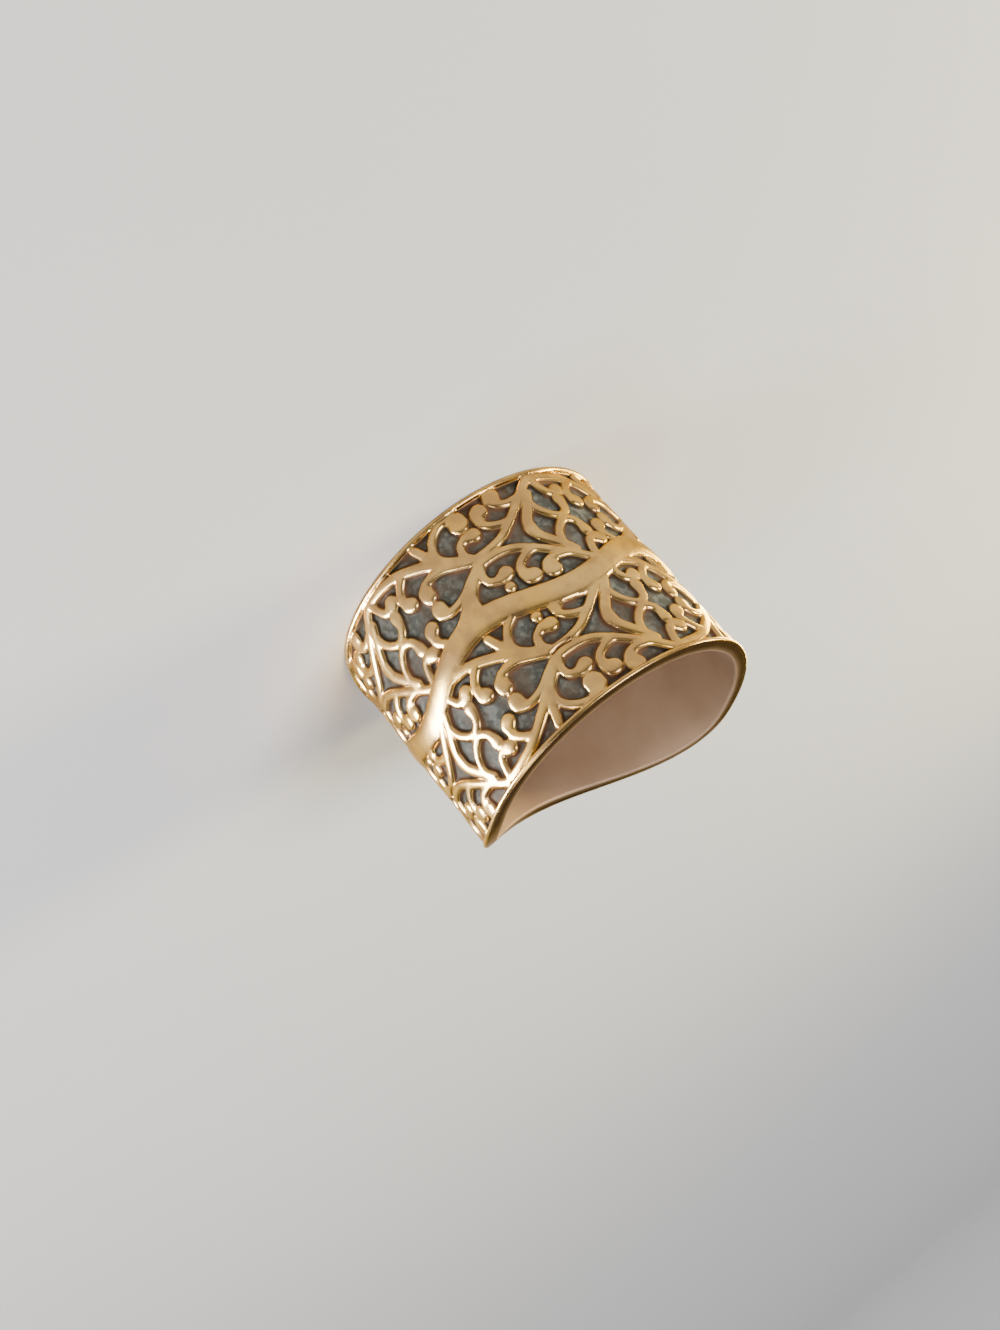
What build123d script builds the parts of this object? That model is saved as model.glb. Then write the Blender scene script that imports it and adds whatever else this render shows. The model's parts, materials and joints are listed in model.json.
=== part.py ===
"""Wide tapered band ring, cast in one piece, with raised scrollwork on a sunk ground.

Sizes in mm. The finger hole runs along Z, the wide front faces -Y, and the ring lies on its rim at Z = 0.
The scrollwork is what stands between sunk gaps. The gaps are charted by hand on a grid of squares for one
motif, mirrored about the middle of its row, and repeated round the band in two rows, above and below a
plain waving ribbon.
"""

from build123d import *
from build123d.topology import SkipClean
import math
import os

# The band
finger_radius = 9.4
wall = 1.05
front_half_width = 8.2
back_half_width = 4.6
taper_start = 0.7
edge_bevel = 0.2

# The relief: how far its tops lie below the rim beads, and how deep the ground lies below its tops
relief_drop = 0.12
relief_depth = 0.42
bead_width = 0.5
ribbon_width = 1.8
ribbon_swing = 0.84
smallest_gap = 0.15
ledge = 0.08

# The layout: the motifs in front are longer than the mean by the stretch, and those behind are shorter
motif_count = 5
front_stretch = 0.112
junction_angle = -28.5
ribbon_crest = -40
row_share = 0.52
field_steps = 20
overcut = 1

# The chart of one motif, in squares along the band from where its stems join, and away from the row's middle
chart_length = 146
chart_height = 40
# Gaps across the row's middle, by the corners of their upper half
middle_gaps = {
    "heart": [(-10, 0), (-31, 10.2), (-40, 11.3), (-43.5, 9.6), (-40.8, 6), (-43, 0)],
    "centre": [(-81, 0), (-74.5, 7), (-72.5, 17), (-66, 18), (-64.5, 11), (-59, 6.5), (-54, 10), (-50.5, 0)],
    "diamond": [(4, 0), (25, 8.5), (46, 24), (32.5, 6), (31, 0)],
    "chevron": [(36, 0), (38, 7), (45.5, 16), (48.5, 8.5), (59, 0)],
}
# Gaps of the upper half alone
side_gaps = {
    "loop": [(-84, 4), (-93, 12), (-96, 19), (-94.5, 26), (-87, 33.5), (-77.8, 12), (-80, 6.5)],
    "loop hook": [(-81.5, 34), (-80, 27.5), (-75, 24.5), (-71, 28.2), (-62.5, 25.5), (-57, 30)],
    "stem hook": [(-60.3, 16.5), (-57.5, 22), (-49.5, 26.5), (-32, 16), (-50.5, 13.2)],
    "stem and rim": [(-64, 38), (-46, 31), (-33, 21), (-38.5, 40), (-64, 40)],
    "horn": [(-32.5, 40), (-28.3, 25), (-24.5, 32.5), (-15, 40)],
    "scroll": [
        (-13.5, 11), (-23.5, 20), (-20.5, 30), (-12.5, 35.2),
        (-7, 33.5), (-7, 27.5), (-3.5, 22.5), (-12, 17.5),
    ],
    "inner hook": [(-9, 9), (-6, 4.8), (5, 5), (21, 11), (12.5, 15), (8, 20.5), (1.5, 12.6), (-8, 14.5)],
    "scroll and rim": [(4, 23.5), (6.3, 21.5), (8, 30), (13, 34), (21.8, 34), (23.5, 40), (5.5, 40)],
    "middle hook": [(12, 24), (14, 19.5), (27, 15), (37, 22.7), (26, 25.8), (21.5, 30), (17.5, 25)],
    "far hook": [(28.5, 30), (34, 27.3), (44, 28.3), (58, 40), (31, 40), (33, 34)],
}

rim_radius = finger_radius + wall
relief_radius = rim_radius - relief_drop
ground_radius = relief_radius - relief_depth
row_offset = row_share * (front_half_width - bead_width)
motif_turn = math.radians(360 / motif_count)
square_high = row_offset / chart_height


def half_width_at(y, margin):
    """Half the band's width at y: parallel rims over the front, then an arc down to the narrow back."""
    drop = front_half_width - back_half_width
    run = rim_radius - taper_start
    arc_radius = (run**2 + drop**2) / (2 * drop)
    past = max(y - taper_start, 0)
    return front_half_width - margin - (arc_radius - math.sqrt(arc_radius**2 - past**2))


def side_blank(margin):
    """The band's outline from the side, less a margin, as a block that runs across the ring."""
    reach = rim_radius + overcut
    high = front_half_width
    stops = (-reach, taper_start, (taper_start + reach) / 2, reach)
    upper = [(0, y, high + half_width_at(y, margin)) for y in stops]
    lower = [(0, y, high - half_width_at(y, margin)) for y in stops]
    outline = [
        Line(upper[0], upper[1]),
        ThreePointArc(upper[1], upper[2], upper[3]),
        Line(upper[3], lower[3]),
        ThreePointArc(lower[3], lower[2], lower[1]),
        Line(lower[1], lower[0]),
        Line(lower[0], upper[0]),
    ]
    return extrude(make_face(outline), amount=reach, both=True)


def tube(inner, outer):
    """A straight tube round the finger's axis, taller than the band."""
    height = 2 * (front_half_width + overcut)
    return Pos(0, 0, front_half_width) * (Cylinder(outer, height) - Cylinder(inner, height + overcut))


def outer_sectors():
    """The space outside the relief's tops, between the beads, in sectors one half motif wide."""
    beyond = rim_radius + overcut
    middle = Pos((relief_radius + beyond) / 2, 0)
    section = Plane.XZ * middle * Rectangle(beyond - relief_radius, 2 * front_half_width)
    count = 2 * motif_count
    sector = Pos(0, 0, front_half_width) * revolve(section, Axis.Z, 360 / count)
    trim = side_blank(bead_width)
    return [Rot(0, 0, 360 / count * index) * sector & trim for index in range(count)]


def is_upright(edge):
    """True for a seam of the band, or a short line across its rim."""
    return edge.geom_type == GeomType.LINE


def bevelled_band():
    """The plain band, with the sharp edges taken off its rims."""
    blank = (tube(finger_radius, rim_radius) & side_blank(0)).solid()
    rims = [edge for edge in blank.edges() if not is_upright(edge)]
    return chamfer(rims, edge_bevel).solid()


def angle_at(along):
    """The angle round the band, from the middle of the front, of a place along the chart."""
    phase = motif_turn * along / chart_length
    return math.radians(junction_angle) + phase + front_stretch * math.sin(phase)


def ribbon_edge(along, row):
    """The height of the ribbon's edge beside a row."""
    wave = math.cos(2 * math.pi * (along - ribbon_crest) / chart_length)
    return row * ribbon_width / 2 - ribbon_swing * wave


def bead_edge(along, row):
    """The height, beside a row, that its gaps keep short of the bead by a narrow ledge."""
    y = -rim_radius * math.cos(angle_at(along))
    return row * half_width_at(y, bead_width + ledge)


def on_band(along, across, row):
    """A corner of the chart, unrolled: its length round the band, and its height from the band's middle."""
    return (relief_radius * angle_at(along), row * row_offset + across * square_high)


def flat_face(corners):
    return make_face(Polyline(*corners, close=True)).face()


def row_field(row, middle):
    """The unrolled area between ribbon and bead, one chart long, about a place along the chart."""
    stops = [middle + chart_length * (step / field_steps - 0.5) for step in range(field_steps + 1)]
    bead_side = [(relief_radius * angle_at(along), bead_edge(along, row)) for along in stops]
    ribbon_side = [(relief_radius * angle_at(along), ribbon_edge(along, row)) for along in reversed(stops)]
    return flat_face(bead_side + ribbon_side)


def trimmed_gaps(corners, row, middle, field):
    """A gap's outline, cut back where it would run into the ribbon or the bead."""
    outline = flat_face([on_band(along, across, row) for along, across in corners])
    inside = all(
        row * ribbon_edge(along, row) < row * height < row * bead_edge(along, row)
        for along, height in [(along, on_band(along, across, row)[1]) for along, across in corners]
    )
    if inside:
        return [outline]
    left = outline.intersect(field)
    return [] if left is None else left.faces()


def gap_cutter(outline):
    """A block with the gap's outline, square to the band at its middle, down to a flat floor."""
    middle = outline.center().X / relief_radius
    outward = Vector(-math.sin(middle), -math.cos(middle), 0)
    sideways = Vector(-math.cos(middle), math.sin(middle), 0)
    floor = Plane(
        origin=outward * ground_radius + Vector(0, 0, front_half_width),
        x_dir=sideways,
        z_dir=outward,
    )
    starts = [edge @ 0 for edge in outline.outer_wire().order_edges()]
    corners = [(relief_radius * math.sin(p.X / relief_radius - middle), -p.Y) for p in starts]
    return extrude(floor * flat_face(corners), amount=rim_radius + overcut - ground_radius)


def motif_gaps():
    """Every gap of one motif's chart, both halves of its row."""
    gaps = []
    for upper in middle_gaps.values():
        gaps.append(upper + [(along, -across) for along, across in reversed(upper) if across])
    for upper in side_gaps.values():
        gaps.append(upper)
        gaps.append([(along, -across) for along, across in reversed(upper)])
    return gaps


def gap_cutters():
    cutters = []
    for motif in range(motif_count):
        for row in (1, -1):
            for gap in motif_gaps():
                corners = [(along + motif * chart_length, across) for along, across in gap]
                middle = sum(along for along, across in corners) / len(corners)
                field = row_field(row, middle)
                for outline in trimmed_gaps(corners, row, middle, field):
                    if outline.area > smallest_gap:
                        cutters.append(gap_cutter(outline))
    return cutters


def ring_band():
    """The casting. Its outside stays in sectors, so that no face carries more than a few gaps."""
    with SkipClean():
        band = bevelled_band().cut(*[sector.solid() for sector in outer_sectors()])
        return band.cut(*gap_cutters()).solid()


os.makedirs("parts", exist_ok=True)
export_step(ring_band(), "parts/ring_band.step")
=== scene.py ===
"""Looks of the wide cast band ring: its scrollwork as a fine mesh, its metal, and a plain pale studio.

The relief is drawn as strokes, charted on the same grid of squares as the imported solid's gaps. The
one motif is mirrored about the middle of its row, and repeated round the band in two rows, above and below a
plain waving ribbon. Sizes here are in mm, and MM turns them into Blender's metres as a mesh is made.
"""

import json
import math

import bmesh
import bpy
import numpy as np
from mathutils import Matrix, Vector


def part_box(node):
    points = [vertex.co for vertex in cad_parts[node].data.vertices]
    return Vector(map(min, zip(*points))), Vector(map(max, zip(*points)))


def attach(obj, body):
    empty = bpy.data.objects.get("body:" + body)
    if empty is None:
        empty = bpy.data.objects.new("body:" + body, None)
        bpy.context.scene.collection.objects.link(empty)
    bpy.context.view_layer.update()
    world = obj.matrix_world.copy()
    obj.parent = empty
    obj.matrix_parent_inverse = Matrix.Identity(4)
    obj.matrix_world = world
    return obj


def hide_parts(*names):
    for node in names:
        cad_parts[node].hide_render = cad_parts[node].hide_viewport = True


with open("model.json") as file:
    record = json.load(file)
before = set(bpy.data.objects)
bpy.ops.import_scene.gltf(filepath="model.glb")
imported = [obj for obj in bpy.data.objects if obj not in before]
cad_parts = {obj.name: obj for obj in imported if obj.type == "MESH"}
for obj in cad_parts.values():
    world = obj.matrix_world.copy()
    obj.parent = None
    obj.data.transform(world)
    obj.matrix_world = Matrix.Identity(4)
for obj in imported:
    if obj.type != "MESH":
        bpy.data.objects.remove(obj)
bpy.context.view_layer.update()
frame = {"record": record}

MM = 0.001

# The camera, matched to the photograph: where it looks, from where, how it is rolled, and its focal length
LOOK_AT = Vector((2.20, 0.65, 6.32))
VIEW_AZIMUTH = 37.93
VIEW_ELEVATION = 24.15
VIEW_DISTANCE = 117.7
VIEW_ROLL = 139.9
FOCAL_PIXELS = 1784
PHOTO_HEIGHT = 1330
SENSOR = 36
NEAREST_SEEN = 5

# The band's sizes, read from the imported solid, and two that are shares of them
BAND_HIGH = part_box("ring_band")[1] / MM
RIM_RADIUS = BAND_HIGH.x
FRONT_HALF_WIDTH = BAND_HIGH.z / 2
FINGER_RADIUS = frame["record"]["mounts"][0]["dims"]["r_mm"]
BACK_HALF_WIDTH = 0.561 * FRONT_HALF_WIDTH
TAPER_START = 0.067 * RIM_RADIUS

# The relief's heights and widths
RELIEF_DROP = 0.12
RELIEF_DEPTH = 0.42
RELIEF_TOP = RIM_RADIUS - RELIEF_DROP
GROUND = RELIEF_TOP - RELIEF_DEPTH
RIBBON_HALF = 0.9
RIBBON_SWING = 0.84
RIBBON_RISE = 0.10
BEAD_WIDTH = 0.36
BEAD_ROUND = 0.18
# The share of its quarter round that the bead's inner side keeps: just short of an upright foot
BEAD_FOOT = 0.995
# How far a stroke's top falls, by the distance from its edge, negative inside
STROKE_STOPS = (-0.5, -0.30, -0.18, -0.10, -0.04, 0.0, 0.04, 0.10, 0.22)
STROKE_FALLS = (0, 0.016, 0.036, 0.068, 0.115, 0.18, 0.295, 0.385, RELIEF_TOP - GROUND)

# The layout round the band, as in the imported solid. The chart's length and height are in squares.
MOTIF_COUNT = 5
FRONT_STRETCH = 0.112
JUNCTION_ANGLE = math.radians(-28.5)
RIBBON_CREST = -40
LONG = 146
HIGH = 40
ROW_OFFSET = 0.4883 * FRONT_HALF_WIDTH
# A square's height on the band, and its mean size, which turns the chart's distances into mm
SQUARE_HIGH = ROW_OFFSET / HIGH
SQUARE_MEAN = 0.1

# How the chart is read. In squares: how far past its top, how far off a stroke is felt, and farther than any
CHART_REACH = HIGH + 8
STROKE_REACH = 14
FAR = 99.0
# Places for each square, points for each step of a stroke's line, and places whose angle is worked out
PER_SQUARE = 2
PER_STEP = 6
PLACES = 4001
# In squares: how much fuller a stroke is each side than charted, how softly it runs into the others, and how
# softly into its own knob
FULLER = 0.75
JOIN_SOFTNESS = 1.4
KNOB_SOFTNESS = 5

# The mesh: the size of its cells, and its outside rows near a rim, by the distance in from the rim
CELL = 0.095
RIM_STOPS = (0, 0.025, 0.09, 0.2, 0.32, 0.42, 0.48, 0.5, 0.56)
# The finger hole's rounded edge, by the distance in from the rim and the height above the hole's wall, and
# how many steps the inside takes from one such edge to the other
HOLE_EDGE = ((0, 0.55), (0, 0.2), (0.02, 0.1), (0.08, 0.025), (0.18, 0))
HOLE_ROWS = 4
# Which of a point's values the triangles are split by, and the levels of the ribbon's
RIBBON_VALUE = 4
NEAREST_VALUE = 6
RIBBON_SPLITS = (-0.12, 0)
# The satin inside ends so high above the hole's wall, over a blend, and the hole's edge past it takes painted
# shade.
# The rim's outer edge has a narrower blend into its painted shade.
SATIN_END = 0.3
SATIN_BLEND = 0.2
RIM_BLEND = 0.05
# The thinning: its target, how far from the beads it starts, and in metres how near two points are one
MOST_TRIANGLES = 190000
KEPT_BESIDE_BEAD = 0.1
WELD = 1e-8

# The floor: its flat part's radius, the radius that it bends up by, and how finely
FLOOR_REACH = 1300
FLOOR_BEND = 350
FLOOR_STEPS = 12
FLOOR_TURNS = 96

# Soft panels that face the ring: azimuth and elevation in degrees, distance, width, height, power in watts,
# and colour
PANELS = {
    "key": (90, 28, 170, 50, 50, 0.17, (0.97, 0.97, 1.0)),
    "warm_side": (-75, 20, 200, 60, 50, 0.75, (1.0, 0.85, 0.42)),
    "over": (158, 66, 170, 44, 44, 0.08, (0.97, 0.98, 1.0)),
    "front": (-8, 50, 3000, 1333, 1333, 129, (1.0, 0.98, 0.97)),
}
# Low panels beside the ring, which give highlights to it alone
LOW_PANELS = {
    "low_left": (108, -4, 32, 16, 16, 0.10, (0.92, 0.96, 1.0)),
    "low_right": (-98, -4, 32, 18, 16, 0.035, (1.0, 0.98, 0.40)),
}

# The chart of one motif's strokes, in squares along the band from where its stems join, and away from the
# middle of its row. A stroke is its middle line, its width at both ends, and the knob that it ends in, if
# any, by its place along, its place across and its radius.
STROKES = {
    "right stem": (
        [(-6, 2.2), (3, 2.6), (11, 3.9), (16.5, 6), (22, 9.2), (33, 17), (43, 24.5), (52, 31.5), (61, 38.5)],
        4.6, 4.6, None,
    ),
    "left stem": (
        [(-3, 2), (-9, 2.2), (-19, 6.8), (-28, 11.7), (-36, 13.5), (-43, 13), (-48, 10)],
        4.6, 4.4, (-46.5, 5.5, 4.6),
    ),
    "outer stem": (
        [
            (-81, 36.5), (-68, 35.5), (-57, 33), (-48, 29), (-39, 24),
            (-32, 19.5), (-26, 14.5), (-19, 9.5), (-12, 5),
        ],
        5.5, 6, None,
    ),
    "stem hook": ([(-51, 30), (-58, 25), (-62.5, 19), (-63, 12.5)], 4.6, 4.4, (-59, 11, 4.2)),
    "horn": ([(-27, 16), (-30.5, 24), (-33, 30.5), (-35, 36)], 5.5, 4.4, None),
    "scroll": (
        [(-15, 8), (-21, 12.5), (-25.5, 18.5), (-26, 25), (-22, 31.5), (-15.5, 36), (-8, 38), (-2, 37)],
        4.4, 4.4, (-1.8, 29.2, 5.9),
    ),
    "scroll tip": ([(-2, 37), (2.5, 34), (3, 29)], 4.4, 3, None),
    "inner hook": ([(-8, 3), (-11.5, 9), (-10.5, 15.5), (-5, 19)], 4.2, 4.2, (1.5, 17.3, 4.4)),
    "middle hook": ([(27, 12.5), (19, 14), (12, 18), (9.5, 24), (10.5, 29)], 4.2, 4.4, (15, 29, 4.6)),
    "far hook": ([(45, 26), (34, 25), (27, 27.5), (24, 32), (25, 36)], 4.2, 4.2, (28.5, 35, 4.6)),
    "chevron": ([(34.8, -1), (36.3, 6), (41.3, 13), (47, 19.5), (52, 26)], 7, 4.6, None),
    "loop": (
        [(-80, 37), (-88, 35.5), (-94.5, 31), (-98, 25), (-98.5, 18), (-96, 10.5), (-90, 4.2), (-83, 0.8)],
        4.2, 4.2, None,
    ),
    "petal": ([(-84, 1), (-78, 4.5), (-75.5, 9.5), (-75, 14.5)], 4.4, 5, (-75, 14.5, 2.6)),
    "loop hook": ([(-84, 37), (-82.5, 29), (-79, 22.5), (-73.5, 20.5)], 4.2, 4.4, (-69.5, 23, 4.4)),
}
# The strokes that differ on the side of a row that faces the ribbon
RIBBON_SIDE = {
    "scroll": (STROKES["scroll"][0], 4.4, 4.4, (-2.2, 26.8, 2.9)),
    "scroll tip": None,
    "far hook": ([(45, 26), (34, 24.5), (27, 26), (24.5, 30), (25.5, 33)], 4.2, 4.2, (29, 32.6, 4.1)),
}
# The narrow groove between the stems of the upper row, and its width
SLIT = [(-10, -0.8), (-3, -1.6), (4, -0.8)]
SLIT_WIDTH = 1.1


def view_back(azimuth, elevation):
    """The direction from what the camera looks at back to the camera."""
    a, e = math.radians(azimuth), math.radians(elevation)
    return Vector((math.sin(a) * math.cos(e), -math.cos(a) * math.cos(e), math.sin(e)))


def add_camera():
    """The camera at the photograph's angle to the ring, rolled as the photograph is."""
    camera = bpy.data.objects.new("camera", bpy.data.cameras.new("camera"))
    bpy.context.scene.collection.objects.link(camera)
    bpy.context.scene.camera = camera
    back = view_back(VIEW_AZIMUTH, VIEW_ELEVATION)
    level = Vector((0, 0, 1)).cross(back).normalized()
    upright = back.cross(level)
    roll = math.radians(VIEW_ROLL)
    right = level * math.cos(roll) + upright * math.sin(roll)
    up = upright * math.cos(roll) - level * math.sin(roll)
    turn = Matrix((right, up, back)).transposed().to_4x4()
    place = (LOOK_AT + back * VIEW_DISTANCE) * MM
    camera.matrix_world = Matrix.Translation(place) @ turn
    camera.data.sensor_width = SENSOR
    camera.data.lens = FOCAL_PIXELS * SENSOR / PHOTO_HEIGHT
    camera.data.clip_start = NEAREST_SEEN * MM


def smooth_line(points):
    """A stroke's middle line, as a smooth curve through its charted points."""
    p = np.array(points, float)
    q = np.vstack([2 * p[0] - p[1], p, 2 * p[-1] - p[-2]])
    steps = np.arange(PER_STEP)[:, None] / PER_STEP
    line = []
    for a, b, c, d in zip(q, q[1:], q[2:], q[3:]):
        bend = (2 * a - 5 * b + 4 * c - d) * steps**2 + (3 * b - a - 3 * c + d) * steps**3
        line.append(0.5 * (2 * b + (c - a) * steps + bend))
    return np.vstack([*line, p[-1:]])


def soft_least(first, second, softness):
    """The smaller of two distances, rounded over where they are about the same."""
    share = np.maximum(softness - np.abs(first - second), 0) / softness
    return np.minimum(first, second) - share**2 * softness / 4


def stroke_distance(s, t, line, first, last):
    """Distance in squares from a stroke's edge, negative inside. Its width runs from first to last."""
    nearest = np.full(s.shape, FAR)
    pieces = len(line) - 1
    for index, (a, b) in enumerate(zip(line, line[1:])):
        near = (s[:, 0] > min(a[0], b[0]) - STROKE_REACH) & (s[:, 0] < max(a[0], b[0]) + STROKE_REACH)
        if not near.any():
            continue
        ab = b - a
        h = np.clip(((s[near] - a[0]) * ab[0] + (t[near] - a[1]) * ab[1]) / (ab @ ab), 0, 1)
        d = np.hypot(s[near] - a[0] - h * ab[0], t[near] - a[1] - h * ab[1])
        width = first + (last - first) * (index + h) / pieces
        nearest[near] = np.minimum(nearest[near], d - width / 2)
    return nearest


def chart_distance():
    """Distance in squares from the nearest stroke's edge over one motif, without and with the groove."""
    along = np.arange(0, LONG * PER_SQUARE + 1) / PER_SQUARE
    across = np.arange(-CHART_REACH * PER_SQUARE, CHART_REACH * PER_SQUARE + 1) / PER_SQUARE
    s, t = np.meshgrid(along, across, indexing="ij")
    nearest = np.full(s.shape, FAR)
    groove = np.full(s.shape, FAR)
    for shift in (0, LONG):
        for name, outer_side in STROKES.items():
            for mirror, stroke in ((1, outer_side), (-1, RIBBON_SIDE.get(name, outer_side))):
                if not stroke:
                    continue
                points, first, last, knob = stroke
                line = smooth_line(points) * (1, mirror) + (shift, 0)
                d = stroke_distance(s, t, line, first, last)
                if knob:
                    head = np.hypot(s - knob[0] - shift, t - mirror * knob[1]) - knob[2]
                    d = soft_least(d, head, KNOB_SOFTNESS)
                nearest = soft_least(nearest, d - FULLER, JOIN_SOFTNESS)
        line = smooth_line(SLIT) + (shift, 0)
        groove = np.minimum(groove, stroke_distance(s, t, line, SLIT_WIDTH, SLIT_WIDTH))
    return nearest, np.maximum(nearest, -groove)


def half_width_at(theta):
    """Half the band's width round the ring: parallel rims in front, then an arc down to the narrow back."""
    y = -RIM_RADIUS * np.cos(theta)
    drop = FRONT_HALF_WIDTH - BACK_HALF_WIDTH
    run = RIM_RADIUS - TAPER_START
    arc = (run**2 + drop**2) / (2 * drop)
    past = np.maximum(y - TAPER_START, 0)
    return FRONT_HALF_WIDTH - (arc - np.sqrt(arc**2 - past**2))


def chart_place(theta):
    """The place along the chart, in squares, of an angle round the band."""
    along = np.linspace(-MOTIF_COUNT * LONG, MOTIF_COUNT * LONG, PLACES)
    phase = along / LONG * 2 * math.pi / MOTIF_COUNT
    return np.interp(theta, JUNCTION_ANGLE + phase + FRONT_STRETCH * np.sin(phase), along)


def sample(chart, along, across):
    """The chart's distance at any place, between its grid points, up to just short of its last ones."""
    s = np.mod(along, LONG) * PER_SQUARE
    t = np.clip((across + CHART_REACH) * PER_SQUARE, 0, chart.shape[1] - 1.001)
    i = np.minimum(s.astype(int), chart.shape[0] - 2)
    j = t.astype(int)
    u, v = s - i, t - j
    low = chart[i, j] * (1 - u) + chart[i + 1, j] * u
    high = chart[i, j + 1] * (1 - u) + chart[i + 1, j + 1] * u
    return low * (1 - v) + high * v


def bead_fall(rim):
    """How far the bead lies below its crest, by the distance in from the rim: past it, below everything."""
    outer = np.clip((BEAD_ROUND - rim) / BEAD_ROUND, 0, 1)
    inner = np.clip((rim - (BEAD_WIDTH - BEAD_ROUND)) / BEAD_ROUND, 0, BEAD_FOOT)
    fall = BEAD_ROUND * (2 - np.sqrt(1 - outer**2) - np.sqrt(1 - inner**2))
    return np.where(rim > BEAD_WIDTH, 1, fall)


def band_radius(scroll, ribbon, rim):
    """The outside's radius, from the distances to the scrollwork, the ribbon and the rim."""
    strokes = RELIEF_TOP - np.interp(scroll, STROKE_STOPS, STROKE_FALLS)
    dome = RIBBON_RISE * (1 - np.clip((ribbon + RIBBON_HALF) / RIBBON_HALF, 0, 1) ** 2)
    waving = RELIEF_TOP + dome - np.interp(ribbon, STROKE_STOPS, STROKE_FALLS)
    bead = RIM_RADIUS - bead_fall(rim)
    return np.maximum.reduce([strokes, waving, bead, np.full(scroll.shape, GROUND)])


def split_at(points, faces, column, level):
    """Splits every triangle that crosses a level of one of the points' values."""
    above = points[:, column] > level
    count = above[faces].sum(1)
    # The triangles with one corner above the level and those with two, each from the corner that is alone
    groups = []
    for corners_above in (1, 2):
        crossing = faces[count == corners_above]
        alone = np.argmax(above[crossing] == (corners_above == 1), axis=1)
        groups.append(np.take_along_axis(crossing, (alone[:, None] + np.arange(3)) % 3, axis=1))
    # One new point on each edge that crosses, known by a key that is made of the edge's two ends
    keys = []
    for group in groups:
        edges = np.sort(np.concatenate([group[:, [0, 1]], group[:, [0, 2]]]), axis=1)
        keys.append(edges[:, 0] * len(points) + edges[:, 1])
    known = np.concatenate([np.unique(keys[0]), np.setdiff1d(keys[1], keys[0])])
    order = np.argsort(known)
    low, high = known // len(points), known % len(points)
    share = (level - points[low, column]) / (points[high, column] - points[low, column])
    fresh = points[low] + (points[high] - points[low]) * share[:, None]
    fresh[:, column] = level
    parts = [faces[(count == 0) | (count == 3)]]
    for group, group_keys in zip(groups, keys):
        a, b, c = group.T
        number = len(points) + order[np.searchsorted(known, group_keys, sorter=order)]
        ab, ac = number[: len(group)], number[len(group):]
        parts += [np.stack(corners, 1) for corners in ((a, ab, ac), (ab, b, c), (ab, c, ac))]
    return np.vstack([points, fresh]), np.vstack(parts)


def outer_rows(half):
    """The outside's rows from the upper rim to the lower, as heights from the band's middle."""
    between = round(2 * (FRONT_HALF_WIDTH - RIM_STOPS[-1]) / CELL)
    rows = [half - stop for stop in RIM_STOPS[:-1]]
    rows += [(half - RIM_STOPS[-1]) * (1 - 2 * k / between) for k in range(between + 1)]
    rows += [stop - half for stop in RIM_STOPS[-2::-1]]
    return np.array(rows)


def inner_rows(half):
    """The inside's rows from the lower rim to the upper: their height from the band's middle, and radius."""
    last_stop = HOLE_EDGE[-1][0]
    rows = [(stop - half, FINGER_RADIUS + rise) for stop, rise in HOLE_EDGE]
    rows += [((half - last_stop) * (2 * k / HOLE_ROWS - 1), FINGER_RADIUS) for k in range(1, HOLE_ROWS)]
    rows += [(half - stop, FINGER_RADIUS + rise) for stop, rise in reversed(HOLE_EDGE)]
    return rows


def ring_points():
    """A grid round the band and round its section, with seven values for each point.

    They are its angle, its height from the band's middle, its radius on the inside or 0 on the outside, its
    distances from the scrollwork, the ribbon and the rim, and its distance from whatever is raised.
    """
    turns = round(2 * math.pi * RIM_RADIUS / CELL)
    theta = np.linspace(-math.pi, math.pi, turns + 1)
    half = half_width_at(theta)
    height = outer_rows(half)
    rim = half - np.abs(height)
    chart, grooved = chart_distance()
    along = chart_place(theta)
    upper = sample(grooved, np.broadcast_to(along, height.shape), (height - ROW_OFFSET) / SQUARE_HIGH)
    lower = sample(chart, np.broadcast_to(along, height.shape), (-height - ROW_OFFSET) / SQUARE_HIGH)
    scroll = np.minimum(upper, lower) * SQUARE_MEAN
    wave = RIBBON_SWING * np.cos(2 * math.pi * (along - RIBBON_CREST) / LONG)
    ribbon = np.abs(height + wave) - RIBBON_HALF
    nearest = np.minimum(scroll, np.minimum(ribbon, rim - BEAD_WIDTH))
    angle = np.broadcast_to(theta, height.shape)
    grid = [angle, height, np.zeros(height.shape), scroll, ribbon, rim, nearest]
    same = np.ones(theta.shape)
    for level, radius in inner_rows(half):
        row = [theta, level, radius * same, FAR * same, FAR * same, 0 * same, -BEAD_WIDTH * same]
        grid = [np.vstack([outside, inside]) for outside, inside in zip(grid, row)]
    return np.stack(grid, -1)


def ring_faces(rows, columns):
    """Two triangles for each cell of the grid; the last row joins the first."""
    i, j = np.meshgrid(np.arange(rows), np.arange(columns - 1), indexing="ij")
    low = i * columns + j
    high = (i + 1) % rows * columns + j
    a, b, c, d = (x.ravel() for x in (low, low + 1, high + 1, high))
    return np.vstack([np.stack([a, b, c], 1), np.stack([a, c, d], 1)])


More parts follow.
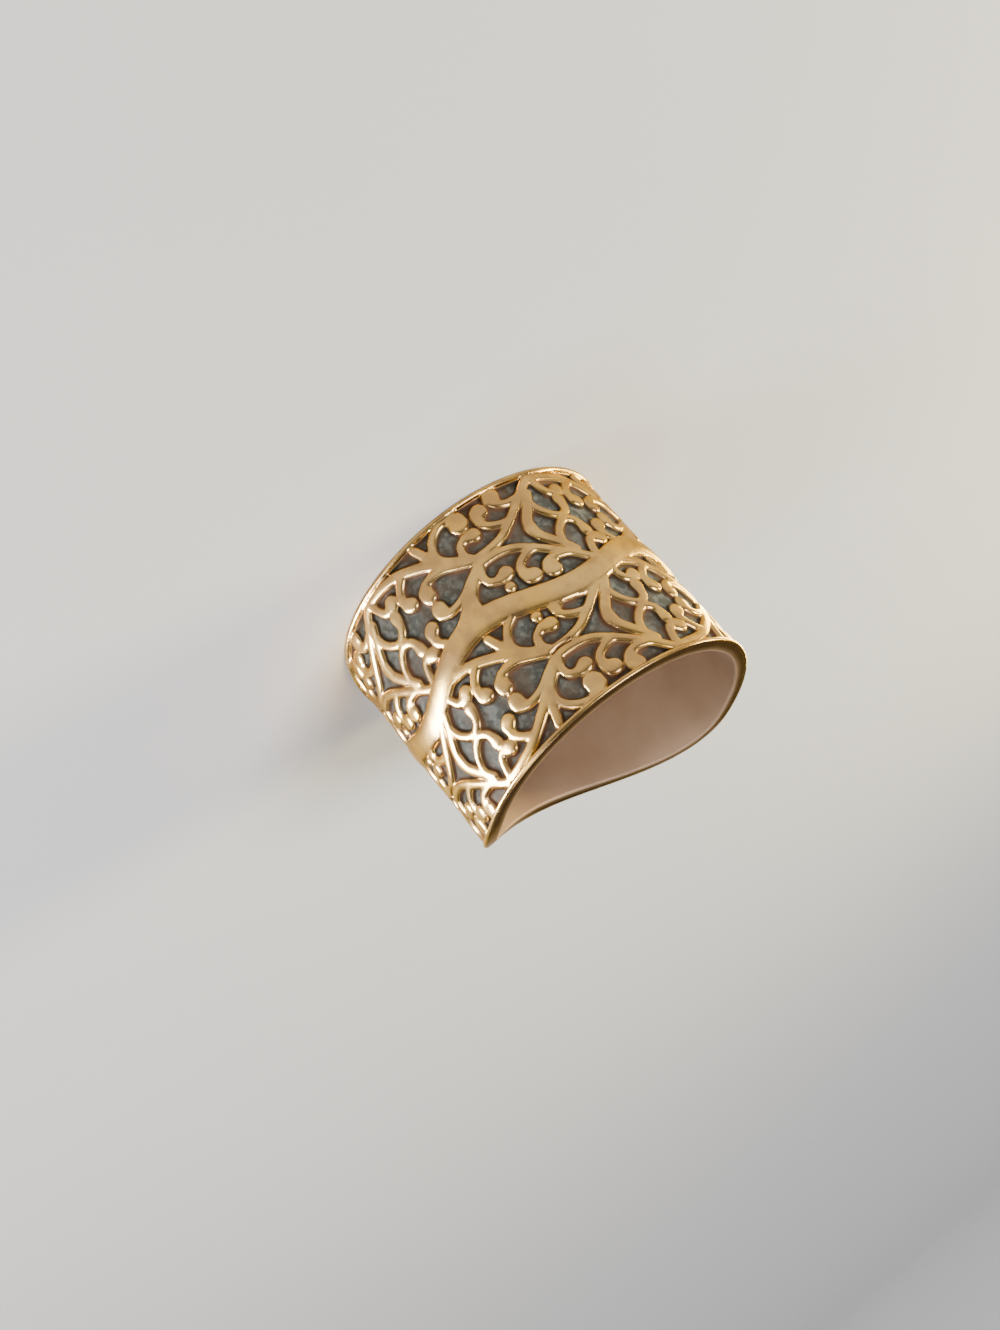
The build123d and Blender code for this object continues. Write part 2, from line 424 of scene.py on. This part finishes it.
def ring_mesh():
    """The whole casting as one closed skin, with what its material needs to know at each point."""
    grid = ring_points()
    rows, columns, values = grid.shape
    points = grid.reshape(-1, values)
    faces = ring_faces(rows, columns)
    for level in STROKE_STOPS:
        points, faces = split_at(points, faces, NEAREST_VALUE, level)
    for level in RIBBON_SPLITS:
        points, faces = split_at(points, faces, RIBBON_VALUE, level)
    theta, height, inner, scroll, ribbon, rim, nearest = points.T
    radius = np.where(inner > 0, inner, band_radius(scroll, ribbon, rim))
    place = np.stack([-radius * np.sin(theta), -radius * np.cos(theta), height + FRONT_HALF_WIDTH], 1)
    mesh = bpy.data.meshes.new("ring_casting")
    mesh.from_pydata((place * MM).tolist(), [], faces.tolist())
    recess = np.clip((RELIEF_TOP - radius) / (RELIEF_TOP - GROUND), 0, 1)
    recess[(inner > 0) | (rim < BEAD_WIDTH)] = 0
    bore = np.where(inner > 0, np.clip((FINGER_RADIUS + SATIN_END - inner) / SATIN_BLEND, 0, 1), 0)
    # edge marks the rim's end face and the hole's rounded edges, which the material paints with shade
    edge = np.where(inner > 0, 1 - bore, np.clip(1 - rim / RIM_BLEND, 0, 1))
    # clear runs from the walls' feet out into the open ground; the material paints shade where it is low
    clear = np.clip(nearest / STROKE_STOPS[-1], 0, 1)
    for name, share in (("rim", rim), ("recess", recess), ("bore", bore), ("edge", edge), ("clear", clear)):
        mesh.attributes.new(name, "FLOAT", "POINT").data.foreach_set("value", share.astype(np.float32))
    return mesh


def weld(mesh):
    """Joins the grid's two ends at the back, and turns every face outwards."""
    work = bmesh.new()
    work.from_mesh(mesh)
    bmesh.ops.remove_doubles(work, verts=work.verts, dist=WELD)
    bmesh.ops.recalc_face_normals(work, faces=work.faces)
    work.to_mesh(mesh)
    work.free()


def drop_flaps(mesh):
    """Deletes the flat faces that stand on an edge of the closed skin by one side alone."""
    work = bmesh.new()
    work.from_mesh(mesh)
    flaps = {face for edge in work.edges if edge.is_boundary for face in edge.link_faces}
    bmesh.ops.delete(work, geom=list(flaps), context="FACES")
    work.to_mesh(mesh)
    work.free()


def take_modifiers(ring):
    """Ends the object's modifiers, and gives the mesh that they made."""
    shown = ring.evaluated_get(bpy.context.evaluated_depsgraph_get())
    made = bpy.data.meshes.new_from_object(shown)
    ring.modifiers.clear()
    return made


def thin_relief(ring):
    """Thins the mesh to the most triangles, and leaves the rims and the inside as they are."""
    full = ring.data
    distance = np.zeros(len(full.vertices), np.float32)
    full.attributes["rim"].data.foreach_get("value", distance)
    relief = ring.vertex_groups.new(name="relief")
    relief.add(np.flatnonzero(distance > BEAD_WIDTH + KEPT_BESIDE_BEAD).tolist(), 1, "REPLACE")
    thin = ring.modifiers.new("thin", "DECIMATE")
    thin.ratio = min(1, MOST_TRIANGLES / len(full.polygons))
    thin.use_collapse_triangulate = True
    thin.vertex_group = relief.name
    ring.data = take_modifiers(ring)
    drop_flaps(ring.data)
    ring.data.shade_smooth()


def copy_normals(full, ring):
    """Gives the thinned ring the smooth normals of the full mesh."""
    full.shade_smooth()
    model = bpy.data.objects.new("full_ring", full)
    bpy.context.scene.collection.objects.link(model)
    transfer = ring.modifiers.new("normals", "DATA_TRANSFER")
    transfer.object = model
    transfer.use_loop_data = True
    transfer.data_types_loops = {"CUSTOM_NORMAL"}
    transfer.loop_mapping = "POLYINTERP_NEAREST"
    ring.data = take_modifiers(ring)
    ring.data.name = "ring_casting"
    bpy.data.objects.remove(model)


def add_casting():
    """The ring itself, as one object."""
    full = ring_mesh()
    weld(full)
    ring = bpy.data.objects.new("ring_casting", full)
    bpy.context.scene.collection.objects.link(ring)
    thin_relief(ring)
    copy_normals(full, ring)
    return ring


class Nodes:
    """Short calls for making a material's nodes."""

    def __init__(self, name):
        self.material = bpy.data.materials.new(name)
        self.material.use_nodes = True
        self.tree = self.material.node_tree
        self.shader = self.tree.nodes["Principled BSDF"]

    def add(self, kind, **settings):
        node = self.tree.nodes.new(kind)
        for key, value in settings.items():
            setattr(node, key, value)
        return node

    def put(self, value, socket):
        """Links a socket, or sets it to a number or a colour."""
        if isinstance(value, bpy.types.NodeSocket):
            self.tree.links.new(value, socket)
        else:
            socket.default_value = value

    def math(self, operation, first, second):
        node = self.add("ShaderNodeMath", operation=operation)
        self.put(first, node.inputs[0])
        self.put(second, node.inputs[1])
        return node.outputs[0]

    def ramp(self, value, low, high, start=0.0, end=1.0):
        """From start to end, smoothly, as the value goes from low to high."""
        node = self.add("ShaderNodeMapRange", interpolation_type="SMOOTHSTEP")
        for socket, number in zip(node.inputs, (value, low, high, start, end)):
            self.put(number, socket)
        return node.outputs[0]

    def mix(self, share, first, second):
        node = self.add("ShaderNodeMix", data_type="RGBA")
        self.put(share, node.inputs["Factor"])
        self.put(first, node.inputs[6])
        self.put(second, node.inputs[7])
        return node.outputs[2]

    def noise(self, scale, detail):
        """Soft noise that is fixed to the object, with so many waves a metre."""
        node = self.add("ShaderNodeTexNoise")
        node.inputs["Scale"].default_value = scale
        node.inputs["Detail"].default_value = detail
        self.put(self.add("ShaderNodeTexCoord").outputs["Object"], node.inputs["Vector"])
        return node.outputs["Fac"]

    def share(self, name):
        """A value that the mesh holds at each of its points."""
        return self.add("ShaderNodeAttribute", attribute_name=name).outputs["Fac"]

    def bump(self, height, distance, strength):
        node = self.add("ShaderNodeBump")
        node.inputs["Strength"].default_value = strength
        node.inputs["Distance"].default_value = distance * MM
        self.put(height, node.inputs["Height"])
        self.put(node.outputs[0], self.shader.inputs["Normal"])


def cast_metal():
    """Champagne brass: polished on the relief's tops, oxidised in its ground, and satin inside, with painted
    shade at the feet of its walls and on its rims' ends.
    """
    n = Nodes("cast_metal")
    recess, bore, edge, clear = (n.share(name) for name in ("recess", "bore", "edge", "clear"))
    # Patterns, from wide stains to fine grain, and where the oxide lies
    wide = n.ramp(n.noise(160, 2), 0.4, 0.65)
    blotch = n.ramp(n.noise(560, 3), 0.38, 0.62)
    waves = n.noise(850, 1)
    speck = n.ramp(n.noise(2300, 4), 0.4, 0.64)
    fine = n.noise(3800, 3)
    patina = n.ramp(n.math("ADD", recess, n.math("MULTIPLY", fine, 0.1)), 0.38, 0.66)
    # Colours: the worn gold of the tops, the brown oxide with painted shade at the feet of the walls, the
    # open ground, lighter by a painted sheen, the rim and the hole's edges with painted shade, and the inside
    gold = n.mix(wide, (0.55, 0.325, 0.083, 1), (0.54, 0.345, 0.12, 1))
    worn = n.mix(n.math("MULTIPLY", blotch, 0.85), gold, (0.36, 0.215, 0.085, 1))
    oxide_with_painted_shade = n.mix(blotch, (0.040, 0.029, 0.018, 1), (0.110, 0.056, 0.030, 1))
    green = n.mix(speck, (0.062, 0.064, 0.055, 1), (0.136, 0.136, 0.118, 1))
    open_ground = n.mix(n.math("MULTIPLY", blotch, 0.75), green, (0.080, 0.058, 0.039, 1))
    # Painted shade: the ground darkens towards the walls' feet, and is lighter in the open middle of each gap
    # as a painted sheen
    ground = n.mix(n.ramp(clear, 0.35, 1.0), oxide_with_painted_shade, open_ground)
    outside = n.mix(patina, worn, ground)
    # The rim's end face and the hole's rounded edges take a darker brown, which is painted shade
    rim = n.mix(edge, outside, (0.30, 0.17, 0.085, 1))
    rose = n.mix(wide, (0.46, 0.325, 0.215, 1), (0.41, 0.28, 0.18, 1))
    n.put(n.mix(bore, rim, rose), n.shader.inputs["Base Color"])
    # Gloss: the oxide is barely metal, and mirrors little
    n.put(n.ramp(patina, 0, 1, 1.0, 0.05), n.shader.inputs["Metallic"])
    n.put(n.ramp(patina, 0, 1, 0.5, 0.08), n.shader.inputs["Specular IOR Level"])
    glancing = n.mix(patina, (0.80, 0.62, 0.36, 1), (0.30, 0.30, 0.29, 1))
    n.put(n.mix(bore, glancing, (0.62, 0.52, 0.44, 1)), n.shader.inputs["Specular Tint"])
    polish = n.ramp(patina, 0, 1, 0.20, 0.55)
    satin = n.math("MULTIPLY", bore, 0.5)
    grain = n.math("MULTIPLY", waves, 0.12)
    n.put(n.math("ADD", n.math("ADD", polish, satin), grain), n.shader.inputs["Roughness"])
    # Bumps: the casting's soft waves and fine grain all over, and a rough ground
    skin = n.math("ADD", waves, n.math("MULTIPLY", fine, 0.05))
    rough_ground = n.math("MULTIPLY", patina, n.math("ADD", speck, blotch))
    n.bump(n.math("ADD", skin, rough_ground), 0.02, 0.6)
    return n.material


def floor_material():
    """Pale matt paper, a little uneven."""
    n = Nodes("floor_paper")
    n.put(n.mix(n.noise(40, 3), (0.60, 0.60, 0.61, 1), (0.63, 0.63, 0.63, 1)), n.shader.inputs["Base Color"])
    n.shader.inputs["Roughness"].default_value = 0.7
    return n.material


def add_floor():
    """A round floor that bends up far off, so that no view shows its edge."""
    profile = [(FLOOR_REACH, 0)]
    for step in range(1, FLOOR_STEPS + 1):
        angle = math.pi / 2 * step / FLOOR_STEPS
        profile.append((FLOOR_REACH + FLOOR_BEND * math.sin(angle), FLOOR_BEND * (1 - math.cos(angle))))
    points = [(0, 0, 0)]
    for radius, height in profile:
        for turn in range(FLOOR_TURNS):
            angle = 2 * math.pi * turn / FLOOR_TURNS
            points.append((radius * math.cos(angle), radius * math.sin(angle), height))
    faces = []
    for turn in range(FLOOR_TURNS):
        following = (turn + 1) % FLOOR_TURNS
        faces.append((0, 1 + turn, 1 + following))
        for level in range(FLOOR_STEPS):
            low = 1 + level * FLOOR_TURNS
            high = low + FLOOR_TURNS
            faces.append((low + turn, high + turn, high + following, low + following))
    mesh = bpy.data.meshes.new("floor")
    mesh.from_pydata([Vector(point) * MM for point in points], [], faces)
    mesh.shade_smooth()
    floor = bpy.data.objects.new("floor", mesh)
    bpy.context.scene.collection.objects.link(floor)
    mesh.materials.append(floor_material())


def add_light(name, azimuth, elevation, distance, wide, tall, power, colour):
    """A soft light panel that faces the ring and isn't seen itself."""
    light = bpy.data.lights.new(name, "AREA")
    light.shape = "RECTANGLE"
    light.size = wide * MM
    light.size_y = tall * MM
    light.energy = power
    light.color = colour
    lamp = bpy.data.objects.new(name, light)
    bpy.context.scene.collection.objects.link(lamp)
    back = view_back(azimuth, elevation)
    lamp.location = (Vector((0, 0, FRONT_HALF_WIDTH)) + back * distance) * MM
    lamp.rotation_mode = "QUATERNION"
    lamp.rotation_quaternion = back.to_track_quat("Z", "Y")
    lamp.visible_camera = False
    return lamp


def add_low_lights(ring):
    """Low panels that light the ring alone, and only by their highlights."""
    only_ring = bpy.data.collections.new("only_ring")
    only_ring.objects.link(ring)
    for name, panel in LOW_PANELS.items():
        lamp = add_light(name, *panel)
        lamp.light_linking.receiver_collection = only_ring
        lamp.visible_diffuse = False


def add_world():
    """Faint even light from all round, slightly cool."""
    world = bpy.data.worlds.new("studio")
    bpy.context.scene.world = world
    world.use_nodes = True
    background = world.node_tree.nodes["Background"]
    background.inputs["Color"].default_value = (0.80, 0.84, 0.90, 1)
    background.inputs["Strength"].default_value = 0.22


add_camera()
ring = add_casting()
ring.data.materials.append(cast_metal())
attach(ring, "root")
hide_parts("ring_band")
add_floor()
add_world()
for name, panel in PANELS.items():
    add_light(name, *panel)
add_low_lights(ring)
